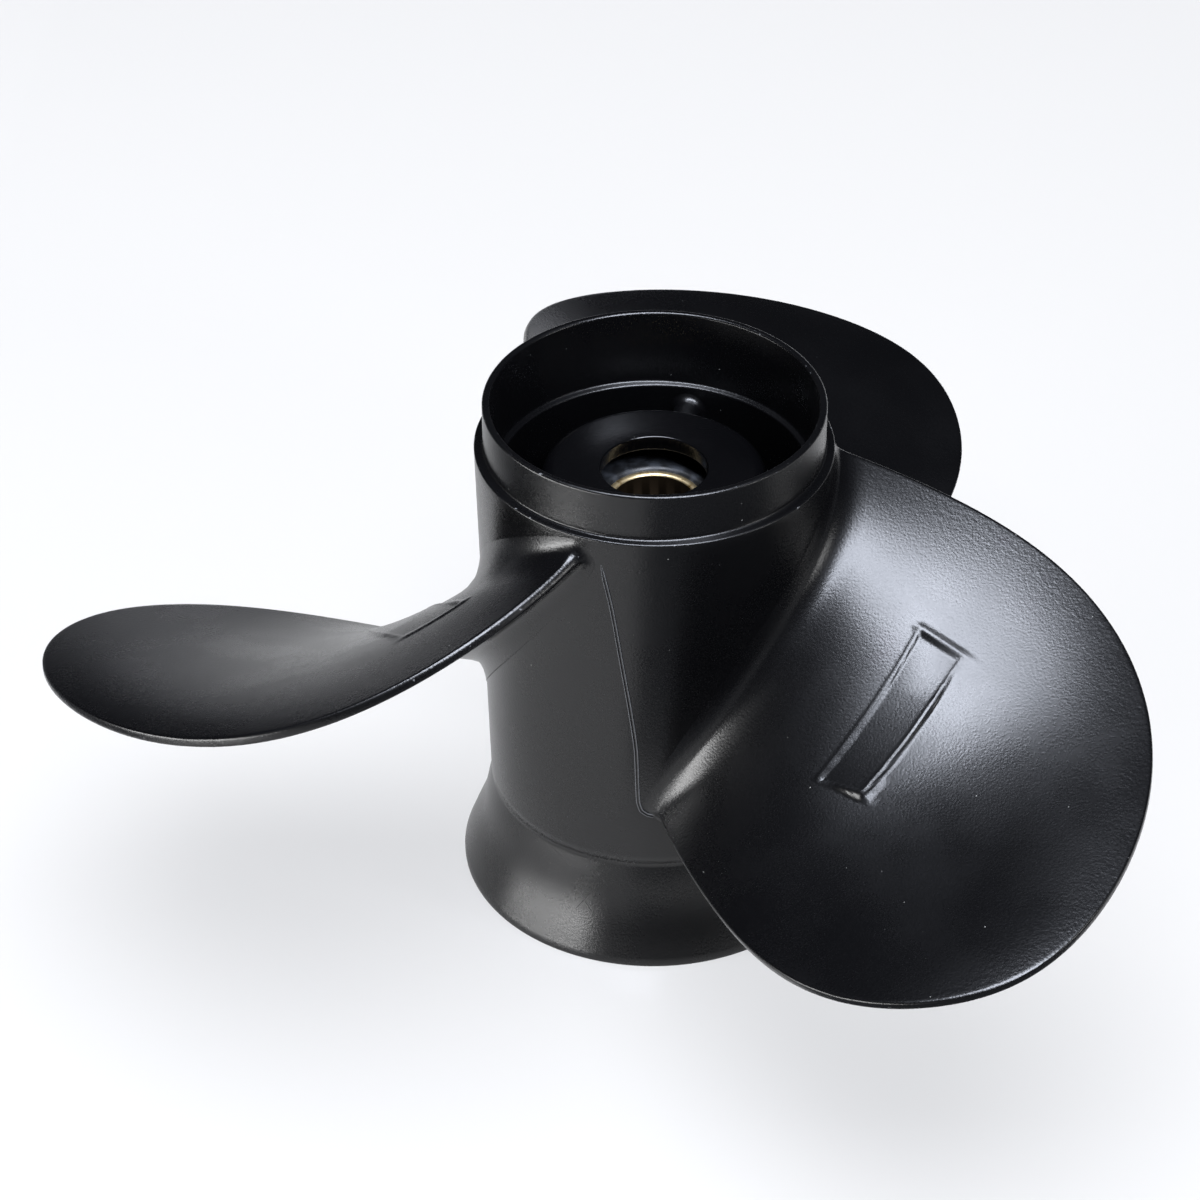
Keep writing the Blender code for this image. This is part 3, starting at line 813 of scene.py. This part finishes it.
rubber, tree, shader = new_material("moulded_natural_rubber")
place = add_node(tree, "ShaderNodeTexCoord").outputs["Object"]
clouds = add_node(tree, "ShaderNodeTexNoise", {"Vector": place, "Scale": 1.0 / BLOOM_PATCH, "Detail": 4.0})
bloom_range = [clouds.outputs["Fac"], *BLOOM_THRESHOLD, 0.0, 1.0]
bloom = add_node(tree, "ShaderNodeMapRange", bloom_range, **SMOOTH).outputs[0]
colour = add_node(tree, "ShaderNodeMix", {0: bloom, 6: RUBBER, 7: RUBBER_BLOOM}, data_type="RGBA").outputs[2]
dullness = add_node(tree, "ShaderNodeMapRange", [bloom, 0.0, 1.0, *RUBBER_ROUGHNESS]).outputs[0]
ripples = add_node(tree, "ShaderNodeTexNoise", {"Vector": place, "Scale": 1.0 / RUBBER_GRAIN}).outputs["Fac"]
grain = add_node(tree, "ShaderNodeBump", {"Height": ripples, "Distance": RUBBER_GRAIN_DEPTH}).outputs[0]
for source, key in ((colour, "Base Color"), (dullness, "Roughness"), (grain, "Normal")):
    tree.links.new(source, shader.inputs[key])
bush.data.materials.append(rubber)
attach(bush, "root")
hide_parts("rubber_bush")

# Brass sleeve
# A brass tube with a splined bore that slides on the propeller shaft and turns with it. Its front
# end is a plain counterbored ring, faced in the lathe; the bore behind it is painted dark, a painted shade.
SLEEVE_AFT_Z = 0.0510
SLEEVE_EDGE = 0.0004
SPLINE_COUNT = 15
SPLINE_ROOT_R = 0.0121
SPLINE_TIP_R = 0.0108
SPLINE_TOOTH_SHARE = 0.46
SPLINE_FLANK_SHARE = 0.06
COUNTERBORE_R = 0.0124
COUNTERBORE_DEPTH = 0.0100
POINTS_PER_SPLINE = 16


def spline_radius(step):
    """Radius of the splined bore at one of its evenly spaced points."""
    share = step % POINTS_PER_SPLINE / POINTS_PER_SPLINE
    gap = 1.0 - SPLINE_TOOTH_SHARE
    corners = (gap - SPLINE_FLANK_SHARE, gap, 1.0 - SPLINE_FLANK_SHARE, 1.0)
    return float(np.interp(share, corners, (SPLINE_ROOT_R, SPLINE_TIP_R, SPLINE_TIP_R, SPLINE_ROOT_R)))


def spline_sleeve():
    """The sleeve: rings of points from its aft bore over the counterbore and back down its outside."""
    around = SPLINE_COUNT * POINTS_PER_SPLINE
    plain = [COUNTERBORE_R] * around
    splined = [spline_radius(step) for step in range(around)]
    outside = [SLEEVE_R] * around
    back = SLEEVE_FRONT_Z - COUNTERBORE_DEPTH
    rings = [
        ([r + SLEEVE_EDGE for r in splined], SLEEVE_AFT_Z),
        (splined, SLEEVE_AFT_Z + SLEEVE_EDGE),
        (splined, back - SLEEVE_EDGE),
        ([min(r + SLEEVE_EDGE, COUNTERBORE_R) for r in splined], back),
        (plain, back + SLEEVE_EDGE / 4),
        (plain, SLEEVE_FRONT_Z - SLEEVE_EDGE),
        ([r + SLEEVE_EDGE for r in plain], SLEEVE_FRONT_Z),
        ([r - SLEEVE_EDGE for r in outside], SLEEVE_FRONT_Z),
        (outside, SLEEVE_FRONT_Z - SLEEVE_EDGE),
        (outside, SLEEVE_AFT_Z + SLEEVE_EDGE),
        ([r - SLEEVE_EDGE for r in outside], SLEEVE_AFT_Z),
    ]
    points = []
    for radii, z in rings:
        for i, r in enumerate(radii):
            angle = 2 * pi * i / around
            points.append((r * cos(angle), r * sin(angle), z))
    faces = []
    for row in range(len(rings)):
        here, there = row * around, (row + 1) % len(rings) * around
        for i in range(around):
            j = (i + 1) % around
            faces.append((here + i, here + j, there + j, there + i))
    return solid("splined_brass_sleeve", points, faces)


sleeve = spline_sleeve()

# Cast brass, faced in the lathe at its front end: a pale cream ring with fine turning marks and a
# tarnish stain here and there. Behind the ring the sleeve is painted a dull dark brown, a painted shade in
# the bore.
BRASS = "#ecd6a8"
TARNISH = "#a5854f"
BORE_SHADE_BROWN = "#1d1710"
BRASS_ROUGHNESS = (0.42, 0.72)
FACE_DEPTH = (0.0006, 0.0003)
# Real turning marks lie 0.1 mm apart; they are drawn 0.35 mm apart so that the render shows them.
TURNING_PITCH = 0.00035
TURNING_DEPTH = 0.000006
STAIN_SIZE = 0.0030
STAIN_THRESHOLD = (0.50, 0.72)

brass, tree, shader = new_material("faced_cast_brass")
shader.inputs["Metallic"].default_value = 1.0
place = add_node(tree, "ShaderNodeTexCoord").outputs["Object"]
height = add_node(tree, "ShaderNodeSeparateXYZ", [place]).outputs["Z"]
face_start, face_end = [SLEEVE_FRONT_Z - depth for depth in FACE_DEPTH]
# Below the faced ring the whole sleeve turns dark brown and duller: painted shade for the bore.
behind = add_node(tree, "ShaderNodeMapRange", [height, face_start, face_end, 1.0, 0.0], **SMOOTH).outputs[0]
clouds = add_node(tree, "ShaderNodeTexNoise", {"Vector": place, "Scale": 1.0 / STAIN_SIZE, "Detail": 3.0})
stain_range = [clouds.outputs["Fac"], *STAIN_THRESHOLD, 0.0, 1.0]
stain = add_node(tree, "ShaderNodeMapRange", stain_range, **SMOOTH).outputs[0]
face = add_node(tree, "ShaderNodeMix", {0: stain, 6: BRASS, 7: TARNISH}, data_type="RGBA").outputs[2]
colour = add_node(tree, "ShaderNodeMix", {0: behind, 6: face, 7: BORE_SHADE_BROWN}, data_type="RGBA").outputs[2]
dullness = add_node(tree, "ShaderNodeMapRange", [behind, 0.0, 1.0, *BRASS_ROUGHNESS]).outputs[0]
flat = add_node(tree, "ShaderNodeVectorMath", [place, (1.0, 1.0, 0.0)], operation="MULTIPLY").outputs[0]
from_axis = add_node(tree, "ShaderNodeVectorMath", [flat], operation="LENGTH").outputs["Value"]
turns = add_node(tree, "ShaderNodeMath", [from_axis, 2.0 * pi / TURNING_PITCH], operation="MULTIPLY")
waves = add_node(tree, "ShaderNodeMath", [turns.outputs[0]], operation="SINE").outputs[0]
turning = add_node(tree, "ShaderNodeBump", {"Height": waves, "Distance": TURNING_DEPTH}).outputs[0]
for source, key in ((colour, "Base Color"), (dullness, "Roughness"), (turning, "Normal")):
    tree.links.new(source, shader.inputs[key])
sleeve.data.materials.append(brass)
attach(sleeve, "root")
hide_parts("spline_sleeve")

# Floor and light
# The propeller stands on a pale satin table. A long softbox hangs over it, turned a little, and two
# low softboxes stand to its left and right. Wide fills light the table alone and keep its shadows
# pale. Dark cards that only the paint mirrors lie in front and at the back left.
FLOOR_SIZE = 6.0
FLOOR_COLOUR = "#e6e7ea"
CARD_COLOUR = "#484848"
CARD_HEIGHT = 0.0005
ROOM_COLOUR = "#eef2ff"
BACK_WALL_LEVEL = 1.0
BACK_WALL_AZIMUTH = 72.0
SIDE_WALL_LEVEL = 0.25
CEILING_LEVEL = 0.03
WALL_TOP = (-0.02, 0.07)
BACK_WALL_SIDES = (0.82, 0.93)
LAMP_AIM = Vector((0.0, 0.0, 0.1))
WATTS_PER_BRIGHTNESS = 4.0


def sheet(name, left, right, front, back, height, material, colour, roughness):
    """A flat sheet of one even colour, which isn't part of the propeller."""
    corners = [(left, front, height), (right, front, height), (right, back, height), (left, back, height)]
    mesh = bpy.data.meshes.new(name)
    mesh.from_pydata(corners, [], [(0, 1, 2, 3)])
    item = bpy.data.objects.new(name, mesh)
    bpy.context.scene.collection.objects.link(item)
    finish, tree, shader = new_material(material)
    shader.inputs["Base Color"].default_value = linear(colour)
    shader.inputs["Roughness"].default_value = roughness
    mesh.materials.append(finish)
    return item


half = FLOOR_SIZE / 2
floor = sheet(
    "floor", left=-half, right=half, front=-half, back=half, height=0.0,
    material="white_satin_laminate", colour=FLOOR_COLOUR, roughness=0.25,
)
cards = {"front_card": (-0.03, 0.70, -0.80, -0.13), "back_card": (-1.60, -0.28, -0.14, 1.00)}
for name, edges in cards.items():
    card = sheet(name, *edges, CARD_HEIGHT, material="dark_grey_card", colour=CARD_COLOUR, roughness=0.9)
    card.visible_camera = card.visible_diffuse = card.visible_shadow = False


def softbox(name, azimuth, elevation, distance, width, height, turn, brightness, colour):
    """A soft lamp that faces the propeller; its brightness is the radiance that a mirror would show."""
    level = cos(radians(elevation))
    away = Vector((level * cos(radians(azimuth)), level * sin(radians(azimuth)), sin(radians(elevation))))
    lamp = bpy.data.lights.new(name, "AREA")
    lamp.shape = "RECTANGLE"
    lamp.size = width
    lamp.size_y = height
    lamp.energy = WATTS_PER_BRIGHTNESS * brightness * width * height
    lamp.color = linear(colour)[:3]
    item = bpy.data.objects.new(name, lamp)
    bpy.context.scene.collection.objects.link(item)
    facing = away.to_track_quat("Z", "Y").to_matrix().to_4x4() @ Matrix.Rotation(radians(turn), 4, "Z")
    item.matrix_world = Matrix.Translation(LAMP_AIM + distance * away) @ facing
    return item


overhead = softbox(
    "overhead_softbox", azimuth=-70.5, elevation=71.5, distance=1.4,
    width=0.44, height=1.57, turn=29.0, brightness=20.4, colour="#ebf1ff",
)
overhead.light_linking.receiver_collection = bpy.data.collections.new("flagged_off")
overhead.light_linking.receiver_collection.objects.link(floor)
overhead.light_linking.receiver_collection.collection_objects[0].light_linking.link_state = "EXCLUDE"
softbox(
    "left_softbox", azimuth=-151.0, elevation=3.0, distance=1.3,
    width=1.25, height=0.24, turn=0.0, brightness=13.0, colour="#ffffff",
)
softbox(
    "right_softbox", azimuth=-25.0, elevation=16.0, distance=1.3,
    width=0.26, height=0.26, turn=0.0, brightness=7.0, colour="#ffffff",
)
table_top = bpy.data.collections.new("table_top")
table_top.objects.link(floor)
for name, brightness, casts_shadow in (("even_fill", 3.2, False), ("shadow_fill", 0.9, True)):
    fill = softbox(
        name, azimuth=90.0, elevation=88.0, distance=2.6,
        width=3.0, height=3.0, turn=0.0, brightness=brightness, colour="#ffffff",
    )
    fill.visible_glossy = False
    fill.data.use_shadow = casts_shadow
    fill.light_linking.receiver_collection = table_top

world = bpy.data.worlds.new("dim_studio")
world.use_nodes = True
tree = world.node_tree
gaze = add_node(tree, "ShaderNodeTexCoord").outputs["Generated"]
gaze_parts = add_node(tree, "ShaderNodeSeparateXYZ", [gaze])
backwards = (cos(radians(BACK_WALL_AZIMUTH)), sin(radians(BACK_WALL_AZIMUTH)), 0.0)
facing = add_node(tree, "ShaderNodeVectorMath", [gaze, backwards], operation="DOT_PRODUCT").outputs["Value"]
levels = [facing, *BACK_WALL_SIDES, SIDE_WALL_LEVEL, BACK_WALL_LEVEL]
wall_level = add_node(tree, "ShaderNodeMapRange", levels, **SMOOTH).outputs[0]
wall = add_node(tree, "ShaderNodeMapRange", [gaze_parts.outputs["Z"], *WALL_TOP, 1.0, 0.0], **SMOOTH)
wall_light = [wall.outputs[0], wall_level, CEILING_LEVEL]
level = add_node(tree, "ShaderNodeMath", wall_light, operation="MULTIPLY_ADD")
tree.nodes["Background"].inputs["Color"].default_value = linear(ROOM_COLOUR)
tree.links.new(level.outputs[0], tree.nodes["Background"].inputs["Strength"])
bpy.context.scene.world = world
bpy.context.scene.view_settings.view_transform = "Standard"
